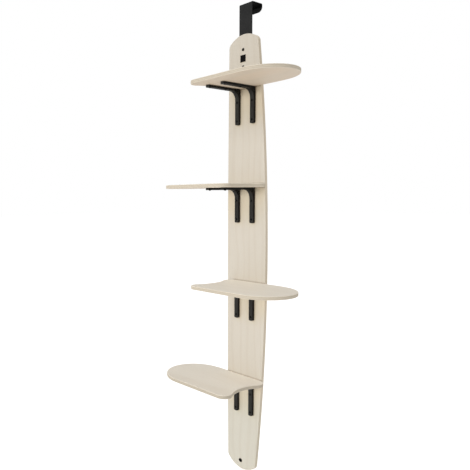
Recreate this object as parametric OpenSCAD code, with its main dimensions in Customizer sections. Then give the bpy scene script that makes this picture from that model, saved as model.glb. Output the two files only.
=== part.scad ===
// A set of four cat shelves on a tall back board that hangs over the top of a door.
// Millimetres. Z points up, X to the right and Y towards the door.
// Zero is the middle of the face with which the hook rests on the door's top edge.
// Heights named _z are measured from the lower end of the back board.

/* [Back board] */
// Height of the whole back board
board_h = 1885; // [1873:1:1897]
// Thickness of the back board
board_t = 15; // [14:0.5:18]
// Reach of the left edge from the line of the hook at the ends of its bow
board_left = 73; // [70:1:76]
// How far the left edge bows outwards
left_bow = 6; // [3:0.5:8]
// Reach of the right edge from the line of the hook at the ends of its bow
board_right = 72; // [69:1:75]
// How far the right edge bows outwards
right_bow = 49; // [42:1:54]
// How far the widest place lies above the board's middle
bow_lift = 11; // [0:1:24]
// Radius of the round upper end
top_end_r = 102; // [98:1:108]
// Radius of the round lower end
foot_end_r = 94; // [90:1:100]
// Sideways place of the middle of the two round ends
end_x = 5; // [2:0.5:8]
// Radius of the curve between a round end and an edge
end_blend_r = 28; // [20:1:34]
// Distance of the lower joint between two boards below the third shelf
seam_drop = 94; // [84:1:98]

/* [Shelves] */
// Width of a shelf from the round end to the corners of the hollow end
shelf_w = 404; // [380:1:430]
// Depth of a shelf from the board to its front edge
shelf_d = 267; // [250:1:285]
// Thickness of a shelf
shelf_t = 15; // [14:0.5:18]
// Rounding of the shelf's long edges
shelf_edge_r = 3; // [1:0.5:5]
// Reach of the hollow end of shelves one and three from the middle of their brackets
left_corner = 81; // [79:1:94]
// Reach of the hollow end of shelves two and four from the middle of their brackets
right_corner = 116; // [104:1:122]
// How far the hollow end dips in between its two round corners
dip = 25; // [16:1:27]
// Radius of the two corners of the hollow end
corner_r = 36; // [26:1:42]
// Distance of the top shelf's underside below the board's top edge
top_shelf_drop = 225; // [215:1:235]
// Height of the bottom shelf's underside
low_shelf_z = 410; // [396:1:422]

/* [Brackets] */
// Distance from the line of the hook to the middle of the two brackets
bracket_x = 17; // [13:0.5:20]
// Distance between the two brackets of a shelf
bracket_pitch = 78; // [73:0.5:80]
// Width of a bracket
bracket_w = 19; // [18:0.5:20]
// Length of the leg on the board
leg_l = 150; // [147:1:156]
// Depth of the leg
leg_d = 12; // [11:0.5:15]
// Length of the arm under the shelf
arm_l = 195; // [193:1:208]
// Depth of the arm
arm_d = 9.5; // [9:0.5:11]
// Radius of the hollow curve between leg and arm
gusset_r = 36; // [30:1:38]
// Radius of the corners at the ends of leg and arm
bracket_corner_r = 5; // [3:0.5:7]
// Wall thickness of the hollow bracket
bracket_wall = 2.6; // [2:0.1:3]
// Radius of the post around each screw
post_r = 5; // [4.2:0.1:5.6]
// Distance of the upper leg screw below the shelf
leg_screw_upper = 56; // [54:1:62]
// Distance of the lower leg screw below the shelf
leg_screw_lower = 135; // [128:1:137]
// Distance of the inner arm screw from the board
arm_screw_inner = 84; // [76:1:100]
// Distance of the outer arm screw from the board
arm_screw_outer = 178; // [171:1:183]

/* [Screws] */
// Diameter of the wood screws
screw_d = 4; // [3.5:0.1:4.4]
// Diameter of their domed heads
screw_head_d = 9; // [8:0.1:9.6]
// Height of their domed heads
screw_head_h = 2.8; // [2.2:0.1:3.2]
// Depth of a wood screw in the board or in a shelf
screw_bite = 11; // [9:0.5:12]
// Gap between a screw and its hole, all round
screw_gap = 0.3; // [0.25:0.05:0.4]
// Width of the cross slot
slot_w = 1; // [0.8:0.1:1.2]
// Length of the cross slot
slot_l = 4.6; // [3.6:0.1:5]
// Depth of the cross slot
slot_depth = 1.4; // [1:0.1:1.6]

/* [Door hook] */
// Width of the hook strap
strap_w = 66; // [62:1:72]
// Thickness of the strap
strap_t = 3; // [2.5:0.1:3.2]
// Height of the hook's resting face above the board
hook_rise = 127; // [118:1:138]
// Length of the strap behind the board
strap_drop = 152; // [146:1:165]
// Clear gap for the door
door_gap = 54; // [46:1:60]
// Height of the lip behind the door
lip_h = 29; // [26:1:40]
// Radius of the lip's two lower corners
lip_corner_r = 20; // [14:0.5:23]
// Radius of the corners of the strap's other end
strap_corner_r = 9; // [4:0.5:12]
// Outer radius of the two bends
bend_r = 5; // [4.5:0.1:6]
// Thickness of the soft liner in the hook
liner_t = 2; // [1.5:0.1:3]
// Width of the soft liner
liner_w = 60; // [50:1:62]

/* [Hook bolts] */
// Diameter of the two bolts
bolt_d = 6; // [5:0.5:7]
// Diameter of the bolt heads
bolt_head_d = 13; // [11:0.5:14]
// Height of the bolt heads
bolt_head_h = 3.4; // [2.8:0.1:4]
// Key size of the socket in a bolt head
socket_w = 4; // [3:0.5:5]
// Depth of the socket
socket_depth = 2; // [1.4:0.1:2.4]
// Distance of the upper bolt below the board's top edge
bolt_upper = 62; // [58:1:66]
// Distance of the lower bolt below the board's top edge
bolt_lower = 134; // [130:1:138]
// Width of a nut over its flats
nut_w = 12; // [11:0.5:13]
// Height of a nut
nut_h = 4; // [3:0.1:4.4]

/* [Badge plate] */
// Width of the square plate
badge_w = 27; // [22:1:32]
// Height of the square plate
badge_h = 29; // [22:1:34]
// Thickness of the square plate
badge_t = 1.2; // [0.8:0.1:2]
// Distance of its middle below the board's top edge
badge_drop = 99; // [94:1:103]

/* [Foot eyelet] */
// Sideways place of the eyelet from the line of the hook
eyelet_x = -3.5; // [-8:0.5:6]
// Height of the eyelet
eyelet_z = 35.5; // [32:0.5:46]
// Diameter of the hole through the eyelet
eyelet_bore = 5.2; // [4.6:0.1:6]
// Diameter of its tube
eyelet_tube = 9.4; // [8.4:0.1:10.4]
// Diameter of its rim
eyelet_rim = 16.5; // [14:0.5:18]
// Height of its rim
eyelet_rim_h = 1.4; // [1:0.1:2]

/* [Back of the board] */
// Diameter of the soft pads
pad_d = 40; // [34:1:44]
// Thickness of the soft pads
pad_t = 8; // [7.6:0.1:10]
// Distance between the two pads of a pair
pad_pitch = 80; // [70:1:90]
// Height of the lower pair of pads
pad_low_z = 110; // [95:5:150]
// Distance of the upper pair of pads below the board's top edge
pad_high_drop = 288; // [240:4:320]
// Width of a joining plate
plate_w = 116; // [108:1:124]
// Height of a joining plate
plate_h = 70; // [60:1:80]
// Thickness of a joining plate
plate_t = 2.5; // [2:0.1:3]
// Radius of its corners
plate_corner_r = 6; // [3:0.5:8]
// Sideways distance of its screws
plate_screw_x = 92; // [88:1:96]
// Upright distance of its screws
plate_screw_z = 44; // [40:1:48]

/* [Hidden] */

// Cut length past a face, and the smoothness of drawn curves
over = 1;
curve = 64;
fine_curve = 720;

// Front to back places
door_y = -door_gap / 2;
back_y = door_y - pad_t;
front_y = back_y - board_t;

// Upright places
foot_z = -hook_rise - board_h;
top_z = -hook_rise;
shelves = 4;
shelf_pitch = (board_h - top_shelf_drop - low_shelf_z) / (shelves - 1);
tier_z = [for (tier = [0 : shelves - 1]) board_h - top_shelf_drop - tier * shelf_pitch];
// The upper joint lies behind the edge of the second shelf
upper_seam_z = tier_z[1] + shelf_t / 2;
lower_seam_z = tier_z[2] - seam_drop;
pad_mid_z = (lower_seam_z + upper_seam_z) / 2;
pad_high_z = board_h - pad_high_drop;
// Shelves one and three reach to the right, two and four to the left
tier_side = [-1, 1, -1, 1];
tier_corner = [left_corner, right_corner, left_corner, right_corner];
bracket_side = [-1, 1];

// Each long edge follows one large circle through its widest place
bow_z = board_h / 2 + bow_lift;
left_bow_r = (board_h * board_h / 4 + left_bow * left_bow) / (2 * left_bow);
right_bow_r = (board_h * board_h / 4 + right_bow * right_bow) / (2 * right_bow);
left_centre = [left_bow_r - board_left - left_bow, bow_z];
right_centre = [board_right + right_bow - right_bow_r, bow_z];
board_span = board_left + left_bow + board_right + right_bow + 2 * over;
top_centre = [end_x, board_h - top_end_r];
foot_centre = [end_x, foot_end_r];

// These circles are so large that short straight lengths stand in for them
edge_lengths = 40;

// Blending circles lie a hair further out than ones that only touch, so that they cross
blend_lap = 0.3;
blend_in = end_blend_r - blend_lap;
blends = [
    [left_centre, top_centre,
        cross_point(top_centre, top_end_r - blend_in, left_centre, left_bow_r - blend_in)],
    [right_centre, top_centre,
        cross_point(right_centre, right_bow_r - blend_in, top_centre, top_end_r - blend_in)],
    [left_centre, foot_centre,
        cross_point(left_centre, left_bow_r - blend_in, foot_centre, foot_end_r - blend_in)],
    [right_centre, foot_centre,
        cross_point(foot_centre, foot_end_r - blend_in, right_centre, right_bow_r - blend_in)]
];

// The round end of a shelf and the circle that cuts its hollow end
tip_r = shelf_d / 2;
corner_y = tip_r - corner_r;
corner_to_dip = (dip * dip + corner_y * corner_y - blend_lap * blend_lap) / (2 * (dip - blend_lap));
dip_r = corner_to_dip - corner_r;

screw_r = screw_d / 2;
screw_hole_r = screw_r + screw_gap;
bolt_hole_r = bolt_d / 2 + screw_gap;
hole_spare = 0.5;
bolt_l = board_t + strap_t + nut_h;
plate_screw_l = plate_t + screw_bite;

// Depths in the hook
plate_z = liner_t;
hook_back_y = door_gap / 2 + liner_t;
strap_len = hook_rise + strap_drop;
inner_bend_r = bend_r - strap_t;

wood = [0.85, 0.80, 0.72];
black = [0.16, 0.16, 0.16];
steel = [0.62, 0.63, 0.65];
foam = [0.30, 0.30, 0.31];

// Where two circles cross, on the left of the way from the first centre to the second
function cross_point(first, first_r, second, second_r) =
    let (way = norm(second - first), ahead = (second - first) / way,
        along = (first_r * first_r - second_r * second_r + way * way) / (2 * way))
    first + along * ahead + sqrt(first_r * first_r - along * along) * [-ahead.y, ahead.x];

// One point of the lengths that follow a long edge, counted from the lower end
function edge_point(centre, r, part) =
    let (z = part * (board_h + 2 * over) / edge_lengths - over)
    [centre.x + sign(r) * sqrt(r * r - pow(z - bow_z, 2)), z];

// Direction from one point to another
function towards(from, to) = (to - from) / norm(to - from);

// Outline of the back board, drawn with its lower end at zero
module board_outline() {
    intersection() {
        polygon([
            for (part = [0 : edge_lengths]) edge_point(left_centre, -left_bow_r, part),
            for (part = [edge_lengths : -1 : 0]) edge_point(right_centre, right_bow_r, part)
        ]);
        union() {
            difference() {
                union() {
                    translate(top_centre)
                        circle(r = top_end_r, $fn = fine_curve);
                    translate(foot_centre)
                        circle(r = foot_end_r, $fn = fine_curve);
                    translate([-board_left - left_bow - over, foot_end_r])
                        square([board_span, board_h - top_end_r - foot_end_r]);
                }
                for (blend = blends)
                    blend_wedge(blend[2], towards(blend[0], blend[2]), towards(blend[1], blend[2]));
            }
            for (blend = blends)
                translate(blend[2])
                    circle(r = end_blend_r, $fn = 2 * curve);
        }
    }
}

// What lies beyond a blending circle between the normals of the two curves it joins
module blend_wedge(centre, edge_way, end_way) {
    reach = 2 * end_blend_r;
    polygon([
        centre,
        centre + reach * edge_way,
        centre + reach * (edge_way + end_way),
        centre + reach * end_way
    ]);
}

// The part of the back board between two heights
module board_part(low, high) {
    translate([0, back_y, foot_z])
        rotate([90, 0, 0])
            linear_extrude(height = board_t)
                intersection() {
                    board_outline();
                    translate([-board_left - left_bow - over, low])
                        square([board_span, high - low]);
                }
}

// Holes in the board for the leg screws of one shelf
module leg_screw_holes(tier) {
    for (side = bracket_side)
        for (drop = [leg_screw_upper, leg_screw_lower])
            translate([bracket_x + side * bracket_pitch / 2, front_y - over,
                    foot_z + tier_z[tier] - drop])
                rotate([-90, 0, 0])
                    cylinder(h = screw_bite + hole_spare + over, r = screw_hole_r, $fn = curve);
}

// Holes in the back of the board for the screws of one joining plate
module plate_screw_holes(z) {
    for (side = bracket_side)
        for (level = bracket_side)
            translate([bracket_x + side * plate_screw_x / 2, back_y + over,
                    foot_z + z + level * plate_screw_z / 2])
                rotate([90, 0, 0])
                    cylinder(h = screw_bite + hole_spare + over, r = screw_hole_r, $fn = curve);
}

// Holes through the board for the two hook bolts
module bolt_holes() {
    for (drop = [bolt_upper, bolt_lower])
        translate([0, front_y - over, top_z - drop])
            rotate([-90, 0, 0])
                cylinder(h = board_t + strap_t + 2 * over, r = bolt_hole_r, $fn = curve);
}

module board_upper() {
    color(wood)
        difference() {
            board_part(upper_seam_z, board_h + over);
            bolt_holes();
            leg_screw_holes(0);
            plate_screw_holes(upper_seam_z);
        }
}

module board_middle() {
    color(wood)
        difference() {
            board_part(lower_seam_z, upper_seam_z);
            leg_screw_holes(1);
            leg_screw_holes(2);
            plate_screw_holes(upper_seam_z);
            plate_screw_holes(lower_seam_z);
        }
}

module board_lower() {
    color(wood)
        difference() {
            board_part(-over, lower_seam_z);
            leg_screw_holes(2);
            leg_screw_holes(3);
            plate_screw_holes(lower_seam_z);
            translate([eyelet_x, front_y - over, foot_z + eyelet_z])
                rotate([-90, 0, 0])
                    cylinder(h = board_t + 2 * over, r = eyelet_tube / 2 + screw_gap, $fn = curve);
        }
}

// Half section of a shelf edge: a flat slab whose outer end is rounded
module edge_section(reach) {
    square([reach - shelf_edge_r, shelf_t]);
    translate([0, shelf_edge_r])
        square([reach, shelf_t - 2 * shelf_edge_r]);
    translate([reach - shelf_edge_r, shelf_edge_r])
        circle(r = shelf_edge_r, $fn = curve);
    translate([reach - shelf_edge_r, shelf_t - shelf_edge_r])
        circle(r = shelf_edge_r, $fn = curve);
}

// Section of the cutter for the hollow end, which leaves a rounded edge
module dip_section() {
    translate([0, -over])
        square([dip_r, shelf_t + 2 * over]);
    difference() {
        translate([dip_r - over, 0])
            square([over + shelf_edge_r, shelf_t]);
        translate([dip_r, shelf_edge_r])
            square([2 * shelf_edge_r, shelf_t - 2 * shelf_edge_r]);
        translate([dip_r + shelf_edge_r, shelf_edge_r])
            circle(r = shelf_edge_r, $fn = curve);
        translate([dip_r + shelf_edge_r, shelf_t - shelf_edge_r])
            circle(r = shelf_edge_r, $fn = curve);
    }
}

// One shelf with its round end to the left, on the line of its brackets
module shelf_blank(reach) {
    tip_x = reach - shelf_w + tip_r;
    corner_x = reach - corner_r;
    dip_x = reach - dip + dip_r;
    difference() {
        union() {
            translate([tip_x, 0, 0])
                rotate([90, 0, 90])
                    linear_extrude(height = corner_x - tip_x)
                        mirror([1, 0])
                            edge_section(shelf_d);
            translate([tip_x, -tip_r, 0])
                rotate_extrude($fn = 3 * curve)
                    edge_section(tip_r);
            for (y = [-corner_y, corner_y])
                translate([corner_x, y - tip_r, 0])
                    rotate_extrude($fn = 3 * curve)
                        edge_section(corner_r);
            linear_extrude(height = shelf_t)
                polygon([
                    [corner_x, corner_y - tip_r],
                    [corner_x, -corner_y - tip_r],
                    [dip_x, -tip_r]
                ]);
        }
        translate([dip_x, -tip_r, 0])
            rotate_extrude($fn = fine_curve)
                dip_section();
        for (side = bracket_side)
            for (y = [-arm_screw_inner, -arm_screw_outer])
                translate([side * bracket_pitch / 2, y, -over])
                    cylinder(h = screw_bite + hole_spare + over, r = screw_hole_r, $fn = curve);
    }
}

// A shelf in its place, with its round end to the left or to the right
module shelf(tier) {
    color(wood)
        translate([bracket_x, front_y, foot_z + tier_z[tier]])
            mirror([tier_side[tier] < 0 ? 1 : 0, 0, 0])
                shelf_blank(tier_corner[tier]);
}

module shelf_1() {
    shelf(0);
}

module shelf_2() {
    shelf(1);
}

module shelf_3() {
    shelf(2);
}

module shelf_4() {
    shelf(3);
}

// Side view of a bracket, or of the hollow inside it, where the wall is taken off
module bracket_profile(wall) {
    translate([-leg_d + wall, -leg_l + wall])
        square([leg_d - wall + (wall > 0 ? over : 0), leg_l - wall + (wall > 0 ? over : 0)]);
    translate([-arm_l + wall, -arm_d + wall])
        square([arm_l - wall + (wall > 0 ? over : 0), arm_d - wall + (wall > 0 ? over : 0)]);
    difference() {
        translate([-leg_d - gusset_r, -arm_d - gusset_r])
            square([gusset_r + wall, gusset_r + wall]);
        translate([-leg_d - gusset_r, -arm_d - gusset_r])
            circle(r = gusset_r + wall, $fn = curve * 2);
    }
}

// What is taken off to round one upright corner at the end of a bracket
module corner_cut(h) {
    difference() {
        translate([0, 0, -over])
            cube([bracket_corner_r + over, bracket_corner_r + over, h + 2 * over]);
        translate([0, 0, -2 * over])
            cylinder(h = h + 4 * over, r = bracket_corner_r, $fn = curve);
    }
}

// Places of the four screws of one bracket, each with its head outwards
module leg_screw_places() {
    for (drop = [leg_screw_upper, leg_screw_lower])
        translate([0, -leg_d, -drop])
            rotate([-90, 0, 0])
                children();
}

module arm_screw_places() {
    for (reach = [arm_screw_inner, arm_screw_outer])
        translate([0, -reach, -arm_d])
            children();
}

// One bracket, with its inner corner between board and shelf at zero
module bracket_blank() {
    half = bracket_w / 2;
    difference() {
        union() {
            difference() {
                translate([-half, 0, 0])
                    rotate([90, 0, 90])
                        linear_extrude(height = bracket_w)
                            bracket_profile(0);
                translate([-half + bracket_wall, 0, 0])
                    rotate([90, 0, 90])
                        linear_extrude(height = bracket_w - 2 * bracket_wall)
                            bracket_profile(bracket_wall);
                for (side = [0, 1])
                    mirror([side, 0, 0])
                        translate([half - bracket_corner_r, 0, -leg_l + bracket_corner_r])
                            rotate([90, 0, 0])
                                rotate([0, 0, -90])
                                    corner_cut(leg_d);
                for (side = [0, 1])
                    mirror([side, 0, 0])
                        translate([half - bracket_corner_r, -arm_l + bracket_corner_r, -arm_d])
                            rotate([0, 0, -90])
                                corner_cut(arm_d);
            }
            leg_screw_places()
                cylinder(h = leg_d, r = post_r, $fn = curve);
            arm_screw_places()
                cylinder(h = arm_d, r = post_r, $fn = curve);
        }
        leg_screw_places()
            translate([0, 0, -over])
                cylinder(h = leg_d + 2 * over, r = screw_hole_r, $fn = curve);
        arm_screw_places()
            translate([0, 0, -over])
                cylinder(h = arm_d + 2 * over, r = screw_hole_r, $fn = curve);
    }
}

// The place of one bracket under its shelf
module at_bracket(tier, side) {
    translate([bracket_x + side * bracket_pitch / 2, front_y, foot_z + tier_z[tier]])
        children();
}

module bracket(tier, side) {
    color(black)
        at_bracket(tier, side)
            bracket_blank();
}

module bracket_1_left() {
    bracket(0, -1);
}

module bracket_1_right() {
    bracket(0, 1);
}

module bracket_2_left() {
    bracket(1, -1);
}

module bracket_2_right() {
    bracket(1, 1);
}

module bracket_3_left() {
    bracket(2, -1);
}

module bracket_3_right() {
    bracket(2, 1);
}

module bracket_4_left() {
    bracket(3, -1);
}

module bracket_4_right() {
    bracket(3, 1);
}

// A screw that points up, with the seat of its domed head at zero
module wood_screw(l) {
    head_r = screw_head_d / 2;
    dome_r = (head_r * head_r + screw_head_h * screw_head_h) / (2 * screw_head_h);
    difference() {
        union() {
            rotate_extrude($fn = curve)
                intersection() {
                    translate([0, dome_r - screw_head_h])
                        circle(r = dome_r, $fn = curve * 2);
                    translate([0, -screw_head_h])
                        square([head_r, screw_head_h]);
                }
            cylinder(h = l - screw_d, r = screw_r, $fn = curve);
            translate([0, 0, l - screw_d])
                cylinder(h = screw_d, r1 = screw_r, r2 = screw_r / 4, $fn = curve);
        }
        for (turn = [0, 90])
            rotate([0, 0, turn])
                translate([-slot_l / 2, -slot_w / 2, -screw_head_h - over])
                    cube([slot_l, slot_w, slot_depth + over]);
    }
}

// The screws through the arms of one pair of brackets into the shelf
module arm_screws(tier) {
    color(black)
        for (side = bracket_side)
            at_bracket(tier, side)
                arm_screw_places()
                    wood_screw(arm_d + screw_bite);
}

module shelf_screws_1() {
    arm_screws(0);
}

module shelf_screws_2() {
    arm_screws(1);
}

module shelf_screws_3() {
    arm_screws(2);
}

module shelf_screws_4() {
    arm_screws(3);
}

// The screws through the legs of one pair of brackets into the board
module leg_screws(tier) {
    color(black)
        for (side = bracket_side)
            at_bracket(tier, side)
                leg_screw_places()
                    wood_screw(leg_d + screw_bite);
}

module board_screws_1() {
    leg_screws(0);
}

module board_screws_2() {
    leg_screws(1);
}

module board_screws_3() {
    leg_screws(2);
}

module board_screws_4() {
    leg_screws(3);
}

// A flat plate behind the board across one joint
module joining_plate(z) {
    hole_x = plate_screw_x / 2;
    hole_z = plate_screw_z / 2;
    in_x = plate_w / 2 - plate_corner_r;
    in_z = plate_h / 2 - plate_corner_r;
    color(steel)
        translate([bracket_x, back_y + plate_t, foot_z + z])
            rotate([90, 0, 0])
                linear_extrude(height = plate_t)
                    difference() {
                        union() {
                            square([plate_w, 2 * in_z], center = true);
                            square([2 * in_x, plate_h], center = true);
                            for (x = [-in_x, in_x])
                                for (y = [-in_z, in_z])
                                    translate([x, y])
                                        circle(r = plate_corner_r, $fn = curve);
                        }
                        for (x = [-hole_x, hole_x])
                            for (y = [-hole_z, hole_z])
                                translate([x, y])
                                    circle(r = screw_hole_r, $fn = curve);
                    }
}

module joining_plate_upper() {
    joining_plate(upper_seam_z);
}

module joining_plate_lower() {
    joining_plate(lower_seam_z);
}

module joining_plate_screws() {
    color(steel)
        for (z = [lower_seam_z, upper_seam_z])
            for (side = bracket_side)
                for (level = bracket_side)
                    translate([bracket_x + side * plate_screw_x / 2, back_y + plate_t,
                            foot_z + z + level * plate_screw_z / 2])
                        rotate([90, 0, 0])
                            wood_screw(plate_screw_l);
}

// Side view of the bent strap, drawn with Y to the right and Z upwards
module hook_profile() {
    top = plate_z + strap_t;
    translate([back_y, plate_z - strap_len])
        square([strap_t, strap_len - inner_bend_r]);
    translate([back_y + bend_r, plate_z])
        square([hook_back_y + strap_t - back_y - 2 * bend_r, strap_t]);
    translate([hook_back_y, plate_z - lip_h])
        square([strap_t, lip_h - inner_bend_r]);
    bend(back_y + bend_r, top - bend_r, -1);
    bend(hook_back_y + strap_t - bend_r, top - bend_r, 1);
}

// A quarter ring that joins the top of the hook to one of its upright sides
module bend(y, z, side) {
    translate([y, z])
        difference() {
            circle(r = bend_r, $fn = curve);
            circle(r = inner_bend_r, $fn = curve);
            translate([-2 * bend_r, -2 * bend_r])
                square([4 * bend_r, 2 * bend_r]);
            translate([side < 0 ? 0 : -2 * bend_r, -over])
                square([2 * bend_r, 2 * bend_r]);
        }
}

// The flat outline that rounds the lower corners of a strap end
module strap_end(z, h, corner_r) {
    in_x = strap_w / 2 - corner_r;
    translate([-strap_w / 2, z + corner_r])
        square([strap_w, h - corner_r]);
    translate([-in_x, z])
        square([2 * in_x, 2 * corner_r]);
    for (x = [-in_x, in_x])
        translate([x, z + corner_r])
            circle(r = corner_r, $fn = curve);
}

module door_hook() {
    mid_y = (door_y + hook_back_y) / 2;
    color(black)
        difference() {
            intersection() {
                translate([-strap_w / 2, 0, 0])
                    rotate([90, 0, 90])
                        linear_extrude(height = strap_w)
                            hook_profile();
                union() {
                    translate([0, mid_y, 0])
                        rotate([90, 0, 0])
                            linear_extrude(height = mid_y - back_y + over)
                                strap_end(plate_z - strap_len, strap_len + 2 * bend_r, strap_corner_r);
                    translate([0, hook_back_y + strap_t + over, 0])
                        rotate([90, 0, 0])
                            linear_extrude(height = hook_back_y + strap_t + over - mid_y)
                                strap_end(plate_z - lip_h, lip_h + 2 * bend_r, lip_corner_r);
                }
            }
            bolt_holes();
        }
}

// A soft liner under the hook's top and on the inside of its lip
module hook_liner() {
    corner_r = inner_bend_r + screw_gap;
    start_y = door_y;
    liner_drop = lip_h - lip_corner_r;
    color(foam)
        translate([-liner_w / 2, 0, 0])
            rotate([90, 0, 90])
                linear_extrude(height = liner_w) {
                    translate([start_y, 0])
                        square([hook_back_y - corner_r - start_y, liner_t]);
                    translate([door_gap / 2, -liner_drop])
                        square([liner_t, liner_drop + liner_t - corner_r]);
                    intersection() {
                        translate([hook_back_y - corner_r, liner_t - corner_r])
                            circle(r = corner_r, $fn = curve);
                        translate([hook_back_y - corner_r, liner_t - corner_r])
                            square([corner_r, corner_r]);
                    }
                }
}

// The two bolts, with domed heads on the front of the board
module hook_bolts() {
    head_r = bolt_head_d / 2;
    dome_r = (head_r * head_r + bolt_head_h * bolt_head_h) / (2 * bolt_head_h);
    color(black)
        for (drop = [bolt_upper, bolt_lower])
            translate([0, front_y, top_z - drop])
                rotate([-90, 0, 0])
                    difference() {
                        union() {
                            rotate_extrude($fn = curve)
                                intersection() {
                                    translate([0, dome_r - bolt_head_h])
                                        circle(r = dome_r, $fn = curve * 2);
                                    translate([0, -bolt_head_h])
                                        square([head_r, bolt_head_h]);
                                }
                            cylinder(h = bolt_l, r = bolt_d / 2, $fn = curve);
                        }
                        translate([0, 0, -bolt_head_h - over])
                            cylinder(h = socket_depth + over, d = socket_w / cos(30), $fn = 6);
                    }
}

module hook_nuts() {
    color(steel)
        for (drop = [bolt_upper, bolt_lower])
            translate([0, back_y + strap_t, top_z - drop])
                rotate([-90, 0, 0])
                    difference() {
                        cylinder(h = nut_h, d = nut_w / cos(30), $fn = 6);
                        translate([0, 0, -over])
                            cylinder(h = nut_h + 2 * over, r = bolt_hole_r, $fn = curve);
                    }
}

module badge_plate() {
    color(black)
        translate([-badge_w / 2, front_y - badge_t, top_z - badge_drop - badge_h / 2])
            cube([badge_w, badge_t, badge_h]);
}

// The ring in the fixing hole at the lower end
module foot_eyelet() {
    color(black)
        translate([eyelet_x, front_y, foot_z + eyelet_z])
            rotate([-90, 0, 0])
                difference() {
                    union() {
                        translate([0, 0, -eyelet_rim_h])
                            cylinder(h = eyelet_rim_h, d = eyelet_rim, $fn = curve);
                        cylinder(h = board_t, d = eyelet_tube, $fn = curve);
                    }
                    translate([0, 0, -eyelet_rim_h - over])
                        cylinder(h = board_t + eyelet_rim_h + 2 * over, d = eyelet_bore, $fn = curve);
                }
}

// Soft round pads that keep the board off the door
module board_pads() {
    color(foam)
        for (z = [pad_low_z, pad_mid_z, pad_high_z])
            for (side = bracket_side)
                translate([bracket_x / 2 + side * pad_pitch / 2, back_y, foot_z + z])
                    rotate([-90, 0, 0])
                        cylinder(h = pad_t, d = pad_d, $fn = curve);
}

board_upper();
board_middle();
board_lower();
shelf_1();
shelf_2();
shelf_3();
shelf_4();
bracket_1_left();
bracket_1_right();
bracket_2_left();
bracket_2_right();
bracket_3_left();
bracket_3_right();
bracket_4_left();
bracket_4_right();
shelf_screws_1();
shelf_screws_2();
shelf_screws_3();
shelf_screws_4();
board_screws_1();
board_screws_2();
board_screws_3();
board_screws_4();
joining_plate_upper();
joining_plate_lower();
joining_plate_screws();
door_hook();
hook_liner();
hook_bolts();
hook_nuts();
badge_plate();
foot_eyelet();
board_pads();
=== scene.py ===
import math
import bmesh
import bpy
from mathutils import Matrix, Vector


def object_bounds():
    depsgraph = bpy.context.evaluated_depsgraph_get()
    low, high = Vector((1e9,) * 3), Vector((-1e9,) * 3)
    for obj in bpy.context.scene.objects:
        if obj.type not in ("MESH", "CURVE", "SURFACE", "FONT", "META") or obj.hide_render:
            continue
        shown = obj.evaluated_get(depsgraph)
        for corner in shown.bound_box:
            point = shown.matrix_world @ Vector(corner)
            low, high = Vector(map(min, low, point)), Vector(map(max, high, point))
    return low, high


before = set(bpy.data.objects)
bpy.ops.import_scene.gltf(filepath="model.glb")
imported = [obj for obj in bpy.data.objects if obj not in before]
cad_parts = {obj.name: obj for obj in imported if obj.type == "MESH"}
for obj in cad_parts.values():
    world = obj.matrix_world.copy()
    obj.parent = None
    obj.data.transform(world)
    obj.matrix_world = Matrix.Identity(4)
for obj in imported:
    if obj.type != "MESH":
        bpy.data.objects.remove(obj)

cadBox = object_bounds()
print("frame loaded")


# small helpers for node trees

def addNode(tree, kind, settings=None, values=None):
    node = tree.nodes.new(kind)
    for key, value in (settings or {}).items():
        setattr(node, key, value)
    for key, value in (values or {}).items():
        node.inputs[key].default_value = value
    return node


def wire(tree, source, target):
    tree.links.new(source, target)


def feed(tree, value, socket):
    # an output is linked to the socket, and a plain value is set on it
    if isinstance(value, bpy.types.NodeSocket):
        wire(tree, value, socket)
    elif socket.type == "RGBA":
        socket.default_value = (*value, 1.0)
    else:
        socket.default_value = value


def mathNode(tree, operation, *values):
    node = addNode(tree, "ShaderNodeMath", {"operation": operation})
    for value, socket in zip(values, node.inputs):
        feed(tree, value, socket)
    return node.outputs[0]


def scaleAndAdd(tree, value, scale, base):
    return mathNode(tree, "ADD", mathNode(tree, "MULTIPLY", value, scale), base)


def vectorNode(tree, operation, *values):
    node = addNode(tree, "ShaderNodeVectorMath", {"operation": operation})
    for value, socket in zip(values, node.inputs):
        feed(tree, value, socket)
    return node


def stretched(tree, vector, scale):
    return vectorNode(tree, "MULTIPLY", vector, scale).outputs["Vector"]


def enlarged(tree, vector, size):
    node = vectorNode(tree, "SCALE", vector)
    wire(tree, size, node.inputs["Scale"])
    return node.outputs["Vector"]


def splitVector(tree, vector):
    node = addNode(tree, "ShaderNodeSeparateXYZ")
    wire(tree, vector, node.inputs[0])
    return node.outputs


def ramp(tree, value, limits, start=0.0, end=1.0):
    # start up to the first limit, end from the second one on
    node = addNode(tree, "ShaderNodeMapRange", {"interpolation_type": "SMOOTHSTEP"}, {
        "From Min": limits[0], "From Max": limits[1], "To Min": start, "To Max": end})
    wire(tree, value, node.inputs["Value"])
    return node.outputs["Result"]


def fade(tree, value, limits):
    return ramp(tree, value, limits, 1.0, 0.0)


def mixColour(tree, factor, first, second, blend="MIX"):
    node = addNode(tree, "ShaderNodeMix", {
        "data_type": "RGBA", "blend_type": blend, "clamp_factor": True})
    # the node lists sockets for every data type, and these are the colour ones
    for index, value in ((0, factor), (6, first), (7, second)):
        feed(tree, value, node.inputs[index])
    return node.outputs[2]


def layOver(tree, colour, mask, amount, other):
    return mixColour(tree, mathNode(tree, "MULTIPLY", mask, amount), colour, other)


def tint(tree, colour, mask, other):
    return mixColour(tree, mask, colour, other, "MULTIPLY")


def noiseNode(tree, vector, scale=1.0, detail=2.0, roughness=0.5):
    node = addNode(tree, "ShaderNodeTexNoise", values={
        "Scale": scale, "Detail": detail, "Roughness": roughness})
    wire(tree, vector, node.inputs["Vector"])
    return node.outputs["Fac"]


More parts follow.
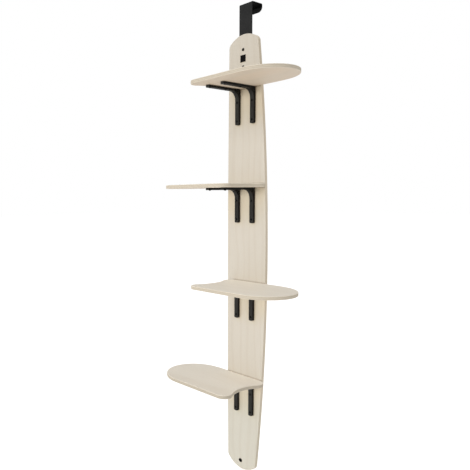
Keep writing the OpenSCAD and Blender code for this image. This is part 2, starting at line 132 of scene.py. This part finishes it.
def newGroup(name, inputs, outputs):
    # an input that starts as a float is a number, any other is a vector
    group = bpy.data.node_groups.new(name, "ShaderNodeTree")
    for socketName, value in inputs.items():
        kind = "NodeSocketFloat" if isinstance(value, float) else "NodeSocketVector"
        socket = group.interface.new_socket(name=socketName, in_out="INPUT", socket_type=kind)
        if value is not None:
            socket.default_value = value
    for socketName in outputs:
        group.interface.new_socket(
            name=socketName, in_out="OUTPUT", socket_type="NodeSocketFloat")
    return group, group.nodes.new("NodeGroupInput").outputs


def closeGroup(group, results):
    out = group.nodes.new("NodeGroupOutput")
    for key, socket in results.items():
        wire(group, socket, out.inputs[key])
    return group


def useGroup(tree, group, vector=None, values=None):
    node = tree.nodes.new("ShaderNodeGroup")
    node.node_tree = group
    if vector is not None:
        wire(tree, vector, node.inputs["Vector"])
    for key, value in (values or {}).items():
        feed(tree, value, node.inputs[key])
    return node.outputs


# shared effects

grainShape = {
    "bendScale": (5.0, 5.0, 2.2), "bendReach": (0.05, 0.05, 0.0), "bendDetail": 2.0,
    "figureScale": 14.0, "figureStretch": (1.0, 1.0, 0.06), "figureLimits": (0.3, 0.7),
    "bandScale": 9.0, "bandStretch": (1.0, 1.0, 0.16), "bandLimits": (0.55, 1.0),
    "bandWaves": {"Distortion": 7.0, "Detail": 2.5, "Detail Scale": 0.8, "Detail Roughness": 0.55},
    "fibreScale": 520.0, "fibreStretch": (1.0, 1.0, 0.016), "fibreHeight": 0.6,
    "poreScale": (1500.0, 1500.0, 70.0), "poreLimits": (0.64, 0.76),
}


def makeWoodGrain():
    # the grain runs along the vector's Z
    shape = grainShape
    group, given = newGroup("Wood grain", {
        "Vector": None, "Figure Scale": shape["figureScale"],
        "Band Scale": shape["bandScale"], "Fibre Scale": shape["fibreScale"],
    }, ("Figure", "Bands", "Fibre", "Pores", "Height"))
    vector = given["Vector"]

    # slow waves bend the grain sideways
    bend = addNode(group, "ShaderNodeTexNoise", values={
        "Scale": 1.0, "Detail": shape["bendDetail"]})
    wire(group, stretched(group, vector, shape["bendScale"]), bend.inputs["Vector"])
    bent = vectorNode(group, "MULTIPLY_ADD",
                      bend.outputs["Color"], shape["bendReach"], vector).outputs["Vector"]

    figureVector = enlarged(
        group, stretched(group, bent, shape["figureStretch"]), given["Figure Scale"])
    figure = ramp(group, noiseNode(group, figureVector, detail=4.0, roughness=0.55),
                  shape["figureLimits"])

    waves = addNode(group, "ShaderNodeTexWave", {
        "wave_type": "BANDS", "bands_direction": "X"}, shape["bandWaves"])
    wire(group, stretched(group, bent, shape["bandStretch"]), waves.inputs["Vector"])
    wire(group, given["Band Scale"], waves.inputs["Scale"])
    bands = ramp(group, waves.outputs["Fac"], shape["bandLimits"])

    fibreVector = enlarged(
        group, stretched(group, bent, shape["fibreStretch"]), given["Fibre Scale"])
    fibre = noiseNode(group, fibreVector, detail=3.0, roughness=0.6)
    poreNoise = noiseNode(group, stretched(group, bent, shape["poreScale"]), detail=1.0)
    pores = ramp(group, poreNoise, shape["poreLimits"])
    fibreHeight = mathNode(group, "MULTIPLY", fibre, shape["fibreHeight"])
    return closeGroup(group, {
        "Figure": figure, "Bands": bands, "Fibre": fibre, "Pores": pores,
        "Height": mathNode(group, "SUBTRACT", fibreHeight, pores)})


plyShape = {
    "layer": 0.003, "wobble": 0.0007, "wobbleScale": (14.0, 14.0, 14.0),
    "crossLimits": (0.22, 0.28), "glueLimits": (0.43, 0.49),
    "mottleScale": (260.0, 260.0, 260.0),
}


def makePlyLayers():
    # Depth is the way through the sheet, in metres
    shape = plyShape
    group, given = newGroup("Ply layers", {
        "Vector": None, "Depth": 0.0, "Layer": shape["layer"],
    }, ("Cross Ply", "Glue Line", "Mottle"))
    # the layers are a little wavy
    wobble = noiseNode(group, stretched(group, given["Vector"], shape["wobbleScale"]))
    depth = mathNode(group, "ADD", given["Depth"],
                     mathNode(group, "MULTIPLY", wobble, shape["wobble"]))
    steps = mathNode(group, "DIVIDE", depth, given["Layer"])
    # a pale and a dark layer make one turn, and its start leaves both faces pale
    turn = mathNode(group, "FRACT", mathNode(group, "MULTIPLY_ADD", steps, 0.5, -0.25))
    fromDark = mathNode(group, "ABSOLUTE", mathNode(group, "SUBTRACT", turn, 0.5))
    withinLayer = mathNode(group, "SUBTRACT", mathNode(group, "FRACT", steps), 0.5)
    fromMiddle = mathNode(group, "ABSOLUTE", withinLayer)
    mottleVector = stretched(group, given["Vector"], shape["mottleScale"])
    return closeGroup(group, {
        "Cross Ply": fade(group, fromDark, shape["crossLimits"]),
        "Glue Line": ramp(group, fromMiddle, shape["glueLimits"]),
        "Mottle": noiseNode(group, mottleVector, detail=3.0)})


coatShape = {"grainScale": 1400.0, "cloudScale": 26.0, "speckScale": 260.0, "speckSize": 0.06}


def makeCoatGrain():
    # the fine skin of sprayed paint, with specks of dust
    shape = coatShape
    group, given = newGroup("Coat grain", {
        "Vector": None, "Grain Scale": shape["grainScale"], "Speck Amount": shape["speckSize"],
    }, ("Cloud", "Specks", "Height"))
    grain = addNode(group, "ShaderNodeTexNoise", values={"Detail": 2.0, "Roughness": 0.6})
    wire(group, given["Vector"], grain.inputs["Vector"])
    wire(group, given["Grain Scale"], grain.inputs["Scale"])
    cloud = noiseNode(group, given["Vector"], shape["cloudScale"], detail=4.0, roughness=0.6)
    dots = addNode(group, "ShaderNodeTexVoronoi", {"feature": "F1"}, {
        "Scale": shape["speckScale"]})
    wire(group, given["Vector"], dots.inputs["Vector"])
    specks = mathNode(group, "LESS_THAN", dots.outputs["Distance"], given["Speck Amount"])
    return closeGroup(group, {"Cloud": cloud, "Specks": specks, "Height": grain.outputs["Fac"]})


maskShape = {
    "edgeLimits": (0.55, 0.90), "cornerLimits": (0.35, 0.95), "shelterLimits": (0.20, 0.75),
    "rimLimits": (0.88, 0.995), "lift": (0.0, 0.0, 1.5), "openSamples": 8, "rimSamples": 6,
}


def makeEdgeMask():
    # 1 where the surface does not face along Axis
    group, given = newGroup("Edge mask", {"Vector": None, "Axis": (0.0, 1.0, 0.0)}, ("Mask",))
    dot = vectorNode(group, "DOT_PRODUCT", given["Vector"], given["Axis"])
    facing = mathNode(group, "ABSOLUTE", dot.outputs["Value"])
    return closeGroup(group, {"Mask": fade(group, facing, maskShape["edgeLimits"])})


def makeCornerShade():
    # painted shade mask: Amount deep in an inner corner, 0 in the open
    group, given = newGroup("Painted corner shade", {"Reach": 0.03, "Amount": 0.5}, ("Mask",))
    openness = addNode(group, "ShaderNodeAmbientOcclusion", {"samples": maskShape["openSamples"]})
    wire(group, given["Reach"], openness.inputs["Distance"])
    closed = fade(group, openness.outputs["AO"], maskShape["cornerLimits"])
    return closeGroup(group, {"Mask": mathNode(group, "MULTIPLY", closed, given["Amount"])})


def makeShelfShadeMask():
    # painted shade mask: 1 where something hangs close above the surface
    group, given = newGroup("Shelf shade mask", {"Vector": None, "Reach": 0.18}, ("Mask",))
    lifted = vectorNode(group, "ADD", given["Vector"], maskShape["lift"]).outputs["Vector"]
    upwards = vectorNode(group, "NORMALIZE", lifted).outputs["Vector"]
    openness = addNode(group, "ShaderNodeAmbientOcclusion", {"samples": maskShape["openSamples"]})
    wire(group, upwards, openness.inputs["Normal"])
    wire(group, given["Reach"], openness.inputs["Distance"])
    shade = fade(group, openness.outputs["AO"], maskShape["shelterLimits"])
    return closeGroup(group, {"Mask": shade})


def makeRimMask():
    # 1 along the sharp borders of a piece
    group, given = newGroup("Rim mask", {"Vector": None, "Width": 0.006}, ("Mask",))
    rounded = addNode(group, "ShaderNodeBevel", {"samples": maskShape["rimSamples"]})
    wire(group, given["Width"], rounded.inputs["Radius"])
    dot = vectorNode(group, "DOT_PRODUCT", rounded.outputs["Normal"], given["Vector"])
    return closeGroup(group, {"Mask": fade(group, dot.outputs["Value"], maskShape["rimLimits"])})


woodGrain = makeWoodGrain()
plyLayers = makePlyLayers()
coatGrain = makeCoatGrain()
edgeMask = makeEdgeMask()
cornerDirt = makeCornerShade()
shelfShadeMask = makeShelfShadeMask()
rimMask = makeRimMask()
print("shared shader groups made")


# materials

def newMaterial(name):
    material = bpy.data.materials.new(name)
    material.use_nodes = True
    tree = material.node_tree
    tree.nodes.clear()
    output = tree.nodes.new("ShaderNodeOutputMaterial")
    shader = tree.nodes.new("ShaderNodeBsdfPrincipled")
    wire(tree, shader.outputs[0], output.inputs["Surface"])
    return material, tree, shader.inputs, tree.nodes.new("ShaderNodeTexCoord").outputs


def addBump(tree, surface, height, strength, depth):
    bump = addNode(tree, "ShaderNodeBump", values={"Strength": strength, "Distance": depth})
    wire(tree, height, bump.inputs["Height"])
    wire(tree, bump.outputs["Normal"], surface["Normal"])


woodLook = {
    "pale": (0.705, 0.655, 0.570), "warm": (0.655, 0.597, 0.505), "warmAmount": 0.40,
    "line": (0.570, 0.488, 0.382), "bandAmount": 0.14, "fibreAmount": 0.12,
    "pore": (0.450, 0.368, 0.275), "poreAmount": 0.26,
    "under": (0.695, 0.570, 0.435), "underLimits": (-0.9, -0.5), "fibreLimits": (0.35, 0.70),
    "plyPale": (0.722, 0.655, 0.545), "plyCross": (0.500, 0.420, 0.320), "layer": 0.003,
    "crossAmount": 0.50, "mottleAmount": 0.15,
    "glue": (0.340, 0.270, 0.200), "glueAmount": 0.30, "edgeTint": (1.0, 0.985, 0.950),
    "rim": (0.900, 0.840, 0.730), "rimAmount": 0.85, "rimWidth": 0.006,
    "corner": (0.50, 0.44, 0.37), "cornerAmount": 0.85, "cornerReach": 0.009,
    "paintedShelfShade": (1.0, 0.953, 0.835), "shelterReach": 0.18,
    "rough": 0.48, "grainRough": 0.16, "edgeRough": 0.18, "shine": 0.35,
    "bump": 0.35, "bumpDepth": 0.0004,
}
boardWood = {"isShelf": False, "grainTurn": (0.0, 0.0, 0.0),
             "through": "Y", "axis": (0.0, 1.0, 0.0)}
shelfWood = {"isShelf": True, "grainTurn": (0.0, math.pi / 2, 0.0),
             "through": "Z", "axis": (0.0, 0.0, 1.0)}


def makeWood(name, sheet, start, edgeTone, darkEnd=None):
    # start turns the place across the sheet into the depth from its face
    look = woodLook
    material, tree, surface, coordinates = newMaterial(name)
    place, normal = coordinates["Object"], coordinates["Normal"]
    turned = addNode(tree, "ShaderNodeMapping", values={"Rotation": sheet["grainTurn"]})
    wire(tree, place, turned.inputs["Vector"])
    grain = useGroup(tree, woodGrain, turned.outputs[0])
    pale = look["pale"]
    if sheet["isShelf"]:
        # painted shade: the downward faces of a shelf take a darker, warmer colour than the tops
        under = fade(tree, splitVector(tree, normal)["Z"], look["underLimits"])
        pale = mixColour(tree, under, pale, look["under"])
    colour = layOver(tree, pale, grain["Figure"], look["warmAmount"], look["warm"])
    colour = layOver(tree, colour, grain["Bands"], look["bandAmount"], look["line"])
    fibre = ramp(tree, grain["Fibre"], look["fibreLimits"])
    colour = layOver(tree, colour, fibre, look["fibreAmount"], look["line"])
    colour = layOver(tree, colour, grain["Pores"], look["poreAmount"], look["pore"])

    # layered edges, where the surface does not face along the sheet's thickness
    split = splitVector(tree, place)
    depth = mathNode(tree, "ADD", split[sheet["through"]], start)
    layers = useGroup(tree, plyLayers, place, {"Layer": look["layer"], "Depth": depth})
    edge = layOver(tree, look["plyPale"], layers["Cross Ply"],
                   look["crossAmount"], look["plyCross"])
    edge = layOver(tree, edge, layers["Mottle"], look["mottleAmount"], look["plyCross"])
    edge = layOver(tree, edge, layers["Glue Line"], look["glueAmount"], look["glue"])
    edge = tint(tree, edge, 1.0, tuple(edgeTone * part for part in look["edgeTint"]))
    edges = useGroup(tree, edgeMask, normal, {"Axis": sheet["axis"]})["Mask"]
    colour = mixColour(tree, edges, colour, edge)
    if sheet["isShelf"]:
        # painted highlight: the borders of a shelf are painted paler, as if they caught the light
        rim = useGroup(tree, rimMask, normal, {"Width": look["rimWidth"]})["Mask"]
        colour = layOver(tree, colour, rim, look["rimAmount"], look["rim"])
    if darkEnd:
        # one end of the sheet is darker
        dark = ramp(tree, split["Z"], darkEnd["heights"])
        colour = tint(tree, colour, dark, darkEnd["tone"])
    # painted contact shade: the colour is darkened in the inner corners
    corner = useGroup(tree, cornerDirt, values={
        "Reach": look["cornerReach"], "Amount": look["cornerAmount"]})["Mask"]
    colour = tint(tree, colour, corner, look["corner"])
    if not sheet["isShelf"]:
        # painted shade: the board is darker and warmer where a shelf hangs close above it
        shelfShade = useGroup(tree, shelfShadeMask, normal, {"Reach": look["shelterReach"]})["Mask"]
        colour = tint(tree, colour, shelfShade, look["paintedShelfShade"])
    wire(tree, colour, surface["Base Color"])

    rough = scaleAndAdd(tree, grain["Fibre"], look["grainRough"], look["rough"])
    roughEdge = mathNode(tree, "MULTIPLY", edges, look["edgeRough"])
    wire(tree, mathNode(tree, "ADD", rough, roughEdge), surface["Roughness"])
    surface["Specular IOR Level"].default_value = look["shine"]
    addBump(tree, surface, grain["Height"], look["bump"], look["bumpDepth"])
    return material


paintLook = {
    "bracket": {"deep": (0.020, 0.0193, 0.0170), "raised": (0.032, 0.0310, 0.0275),
                "side": (0.007, 0.0066, 0.006), "rough": 0.50, "shine": 0.12, "grain": 1400.0},
    "hook": {"deep": (0.017, 0.017, 0.017), "raised": (0.024, 0.024, 0.024),
             "side": (0.004, 0.004, 0.004), "rough": 0.50, "shine": 0.12, "grain": 1100.0},
    "screw": {"deep": (0.002, 0.002, 0.002), "raised": (0.005, 0.005, 0.005),
              "side": (0.002, 0.002, 0.002), "rough": 0.40, "shine": 0.05, "grain": 2400.0},
    "every": {"cloudLimits": (0.3, 0.7), "speck": (0.16, 0.15, 0.14), "speckAmount": 0.35,
              "sideShadeLimits": (-0.85, -0.35), "cloudRough": 0.16, "bump": 0.30, "bumpDepth": 0.0002},
}


def makePaint(name, coatName):
    look = {**paintLook["every"], **paintLook[coatName]}
    material, tree, surface, coordinates = newMaterial(name)
    coat = useGroup(tree, coatGrain, coordinates["Object"], {"Grain Scale": look["grain"]})
    cloud = ramp(tree, coat["Cloud"], look["cloudLimits"])
    colour = mixColour(tree, cloud, look["deep"], look["raised"])
    colour = layOver(tree, colour, coat["Specks"], look["speckAmount"], look["speck"])
    # painted shade: all but the front faces take the darker side colour, as if turned away from
    # the light
    facing = splitVector(tree, coordinates["Normal"])["Y"]
    colour = mixColour(tree, ramp(tree, facing, look["sideShadeLimits"]), colour, look["side"])
    wire(tree, colour, surface["Base Color"])
    leastRough = look["rough"] - look["cloudRough"] / 2
    wire(tree, scaleAndAdd(tree, coat["Cloud"], look["cloudRough"], leastRough),
         surface["Roughness"])
    surface["Specular IOR Level"].default_value = look["shine"]
    addBump(tree, surface, coat["Height"], look["bump"], look["bumpDepth"])
    return material


steelLook = {
    "deep": (0.46, 0.47, 0.49), "bright": (0.62, 0.63, 0.65), "lineScale": (30.0, 900.0, 1600.0),
    "dull": (0.34, 0.33, 0.32), "dullAmount": 0.5, "dullLimits": (0.55, 0.80), "cloudScale": 35.0,
    "rough": 0.24, "lineRough": 0.22, "bump": 0.2, "bumpDepth": 0.0001,
}


def makeSteel(name):
    # drawn steel with brush lines from side to side
    look = steelLook
    material, tree, surface, coordinates = newMaterial(name)
    lines = noiseNode(tree, stretched(tree, coordinates["Object"], look["lineScale"]))
    cloud = noiseNode(tree, coordinates["Object"], look["cloudScale"], detail=4.0)
    colour = mixColour(tree, lines, look["deep"], look["bright"])
    dull = ramp(tree, cloud, look["dullLimits"], end=look["dullAmount"])
    wire(tree, mixColour(tree, dull, colour, look["dull"]), surface["Base Color"])
    surface["Metallic"].default_value = 1.0
    wire(tree, scaleAndAdd(tree, lines, look["lineRough"], look["rough"]), surface["Roughness"])
    addBump(tree, surface, lines, look["bump"], look["bumpDepth"])
    return material


foamLook = {
    "deep": (0.003, 0.003, 0.003), "raised": (0.006, 0.006, 0.006), "cellScale": 900.0,
    "dusty": (0.012, 0.012, 0.011), "dustAmount": 0.4, "dustLimits": (0.5, 0.8),
    "cloudScale": 60.0, "rough": 0.78, "cloudRough": 0.1, "shine": 0.05,
    "bump": 0.5, "bumpDepth": 0.0005,
}


def makeFoam(name):
    # closed-cell foam: dull, with small cells
    look = foamLook
    material, tree, surface, coordinates = newMaterial(name)
    voronoi = addNode(tree, "ShaderNodeTexVoronoi", {"feature": "F1"}, {
        "Scale": look["cellScale"]})
    wire(tree, coordinates["Object"], voronoi.inputs["Vector"])
    cells = voronoi.outputs["Distance"]
    cloud = noiseNode(tree, coordinates["Object"], look["cloudScale"], detail=3.0)
    colour = mixColour(tree, cells, look["deep"], look["raised"])
    dust = ramp(tree, cloud, look["dustLimits"], end=look["dustAmount"])
    wire(tree, mixColour(tree, dust, colour, look["dusty"]), surface["Base Color"])
    wire(tree, scaleAndAdd(tree, cloud, look["cloudRough"], look["rough"]), surface["Roughness"])
    surface["Specular IOR Level"].default_value = look["shine"]
    addBump(tree, surface, cells, look["bump"], look["bumpDepth"])
    return material


plasticLook = {
    "deep": (0.002, 0.002, 0.002), "raised": (0.005, 0.005, 0.0047), "skinScale": 2200.0,
    "cloudScale": 90.0, "rough": 0.42, "skinRough": 0.2, "shine": 0.06,
    "bump": 0.25, "bumpDepth": 0.0002,
}


def makePlastic(name):
    # dark moulded plastic with a fine spark-eroded skin
    look = plasticLook
    material, tree, surface, coordinates = newMaterial(name)
    skin = noiseNode(tree, coordinates["Object"], look["skinScale"])
    cloud = noiseNode(tree, coordinates["Object"], look["cloudScale"], detail=3.0)
    wire(tree, mixColour(tree, cloud, look["deep"], look["raised"]), surface["Base Color"])
    wire(tree, scaleAndAdd(tree, skin, look["skinRough"], look["rough"]), surface["Roughness"])
    surface["Specular IOR Level"].default_value = look["shine"]
    addBump(tree, surface, skin, look["bump"], look["bumpDepth"])
    return material


# heights run from where the tone starts to where it is full
boardLook = {
    "front": 0.050, "edgeTone": 1.12,
    "darkTop": {"heights": (-0.62, -0.48), "tone": (0.92, 0.911, 0.897)},
    "darkFoot": {"heights": (-1.62, -1.78), "tone": (0.93, 0.960, 0.955)},
}
shelfLook = {"edgeTones": (0.95, 1.00, 0.97, 0.86)}


def makeBoardWood(name, darkEnd=None):
    return makeWood(name, boardWood, boardLook["front"], boardLook["edgeTone"], darkEnd)


upperBoardWood = makeBoardWood("upperBoardWood", boardLook["darkTop"])
middleBoardWood = makeBoardWood("middleBoardWood")
lowerBoardWood = makeBoardWood("lowerBoardWood", boardLook["darkFoot"])
bracketPaint = makePaint("bracketPaint", "bracket")
hookPaint = makePaint("hookPaint", "hook")
screwPaint = makePaint("screwPaint", "screw")
plainSteel = makeSteel("plainSteel")
softFoam = makeFoam("softFoam")
darkPlastic = makePlastic("darkPlastic")
print("materials made")


# carried-over nodes: a finish each, and a small break on hard edges

edgeBreak = {
    "board": 0.0012, "bracket": 0.0007, "hook": 0.0005, "plate": 0.0004, "nut": 0.0003,
    "bolt": 0.0002, "liner": 0.0003, "pad": 0.0010, "badge": 0.0003, "eyelet": 0.0003,
    "segments": 2, "sharperThan": 40.0, "join": 0.00001,
}
finishes = {
    "board_upper": (upperBoardWood, "board"),
    "board_middle": (middleBoardWood, "board"),
    "board_lower": (lowerBoardWood, "board"),
    "joining_plate_upper": (plainSteel, "plate"),
    "joining_plate_lower": (plainSteel, "plate"),
    "joining_plate_screws": (plainSteel, None),
    "hook_nuts": (plainSteel, "nut"),
    "door_hook": (hookPaint, "hook"),
    "hook_bolts": (screwPaint, "bolt"),
    "hook_liner": (softFoam, "liner"),
    "board_pads": (softFoam, "pad"),
    "badge_plate": (darkPlastic, "badge"),
    "foot_eyelet": (darkPlastic, "eyelet"),
}
for tier, edgeTone in enumerate(shelfLook["edgeTones"], start=1):
    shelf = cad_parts[f"shelf_{tier}"]
    shelfLow = min(vertex.co.z for vertex in shelf.data.vertices)
    wood = makeWood(f"shelfWood{tier}", shelfWood, -shelfLow, edgeTone)
    finishes[f"shelf_{tier}"] = (wood, None)
    finishes[f"shelf_screws_{tier}"] = (screwPaint, None)
    finishes[f"board_screws_{tier}"] = (screwPaint, None)
    for side in ("left", "right"):
        finishes[f"bracket_{tier}_{side}"] = (bracketPaint, "bracket")


def breakEdges(node, width):
    # the imported mesh is loose triangles, so they are joined before the edges are rounded
    weld = node.modifiers.new("Join", "WELD")
    weld.merge_threshold = edgeBreak["join"]
    bevel = node.modifiers.new("Soft edge", "BEVEL")
    bevel.width = width
    bevel.segments = edgeBreak["segments"]
    bevel.limit_method = "ANGLE"
    bevel.angle_limit = math.radians(edgeBreak["sharperThan"])
    bevel.use_clamp_overlap = True


for name, (material, edgeKind) in finishes.items():
    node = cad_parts[name]
    node.data.materials.clear()
    node.data.materials.append(material)
    if edgeKind:
        breakEdges(node, edgeBreak[edgeKind])
print("carried-over nodes finished")


# floor, lights and camera

room = {
    "floorDrop": 0.006, "floorSize": 60.0, "floorColour": (0.90, 0.90, 0.90), "floorGlow": 0.30,
    "skyColour": (1.0, 1.0, 1.0), "ambient": 0.50,
    "key": {"strength": 1.06, "angle": 10.0, "from": (-0.3, -2.8, 0.22), "shadow": True},
    "top": {"strength": 1.50, "angle": 40.0, "from": (-0.1, -0.2, 3.0), "shadow": False},
}


def makeFloorPaint():
    material = bpy.data.materials.new("floorPaint")
    material.use_nodes = True
    tree = material.node_tree
    tree.nodes.clear()
    output = tree.nodes.new("ShaderNodeOutputMaterial")
    matte = addNode(tree, "ShaderNodeBsdfDiffuse", values={"Color": (*room["floorColour"], 1.0)})
    # a little glow that only the camera sees keeps the floor white
    glow = addNode(tree, "ShaderNodeEmission")
    seen = tree.nodes.new("ShaderNodeLightPath").outputs["Is Camera Ray"]
    wire(tree, mathNode(tree, "MULTIPLY", seen, room["floorGlow"]), glow.inputs["Strength"])
    both = tree.nodes.new("ShaderNodeAddShader")
    wire(tree, matte.outputs[0], both.inputs[0])
    wire(tree, glow.outputs[0], both.inputs[1])
    wire(tree, both.outputs[0], output.inputs["Surface"])
    return material


def addFloor():
    mesh = bpy.data.meshes.new("floor")
    shape = bmesh.new()
    bmesh.ops.create_grid(shape, x_segments=1, y_segments=1, size=room["floorSize"] / 2)
    height = cadBox[0].z - room["floorDrop"]
    bmesh.ops.translate(shape, verts=shape.verts, vec=(0.0, 0.0, height))
    shape.to_mesh(mesh)
    shape.free()
    mesh.materials.append(makeFloorPaint())
    floor = bpy.data.objects.new("floor", mesh)
    bpy.context.scene.collection.objects.link(floor)


def addSky():
    world = bpy.data.worlds.new("softRoom")
    bpy.context.scene.world = world
    world.use_nodes = True
    tree = world.node_tree
    tree.nodes.clear()
    output = tree.nodes.new("ShaderNodeOutputWorld")
    sky = addNode(tree, "ShaderNodeBackground", values={"Color": (*room["skyColour"], 1.0)})
    # white to the camera and through glass, and dimmer as a light
    path = tree.nodes.new("ShaderNodeLightPath").outputs
    seen = mathNode(tree, "MAXIMUM", path["Is Camera Ray"], path["Is Transmission Ray"])
    wire(tree, scaleAndAdd(tree, seen, 1.0 - room["ambient"], room["ambient"]),
         sky.inputs["Strength"])
    wire(tree, sky.outputs[0], output.inputs["Surface"])


def addLight(name, setting):
    data = bpy.data.lights.new(name, "SUN")
    data.energy = setting["strength"]
    data.angle = math.radians(setting["angle"])
    data.use_shadow = setting["shadow"]
    light = bpy.data.objects.new(name, data)
    light.rotation_euler = (-Vector(setting["from"])).to_track_quat("-Z", "Y").to_euler()
    bpy.context.scene.collection.objects.link(light)


shot = {
    "spot": (1.5193, -1.9011, -0.8003), "yaw": 54.223, "pitch": 4.040, "roll": -0.784,
    "lens": 41.202, "sensor": 36.0, "shift": (0.2872, 0.0),
}


def addCamera():
    yaw, pitch, roll = (math.radians(shot[key]) for key in ("yaw", "pitch", "roll"))
    forward = Vector((-math.sin(yaw) * math.cos(pitch), math.cos(yaw) * math.cos(pitch),
                      -math.sin(pitch)))
    level = Vector((math.cos(yaw), math.sin(yaw), 0.0))
    rise = level.cross(forward)
    right = level * math.cos(roll) + rise * math.sin(roll)
    up = rise * math.cos(roll) - level * math.sin(roll)
    data = bpy.data.cameras.new("camera")
    data.sensor_width = shot["sensor"]
    data.lens = shot["lens"]
    data.shift_x, data.shift_y = shot["shift"]
    camera = bpy.data.objects.new("camera", data)
    turn = Matrix((right, up, -forward)).transposed()
    camera.matrix_world = Matrix.Translation(shot["spot"]) @ turn.to_4x4()
    bpy.context.scene.collection.objects.link(camera)
    bpy.context.scene.camera = camera


addFloor()
addSky()
addLight("keyLight", room["key"])
addLight("topLight", room["top"])
addCamera()
bpy.context.scene.view_settings.view_transform = "Standard"
print("floor, lights and camera placed")
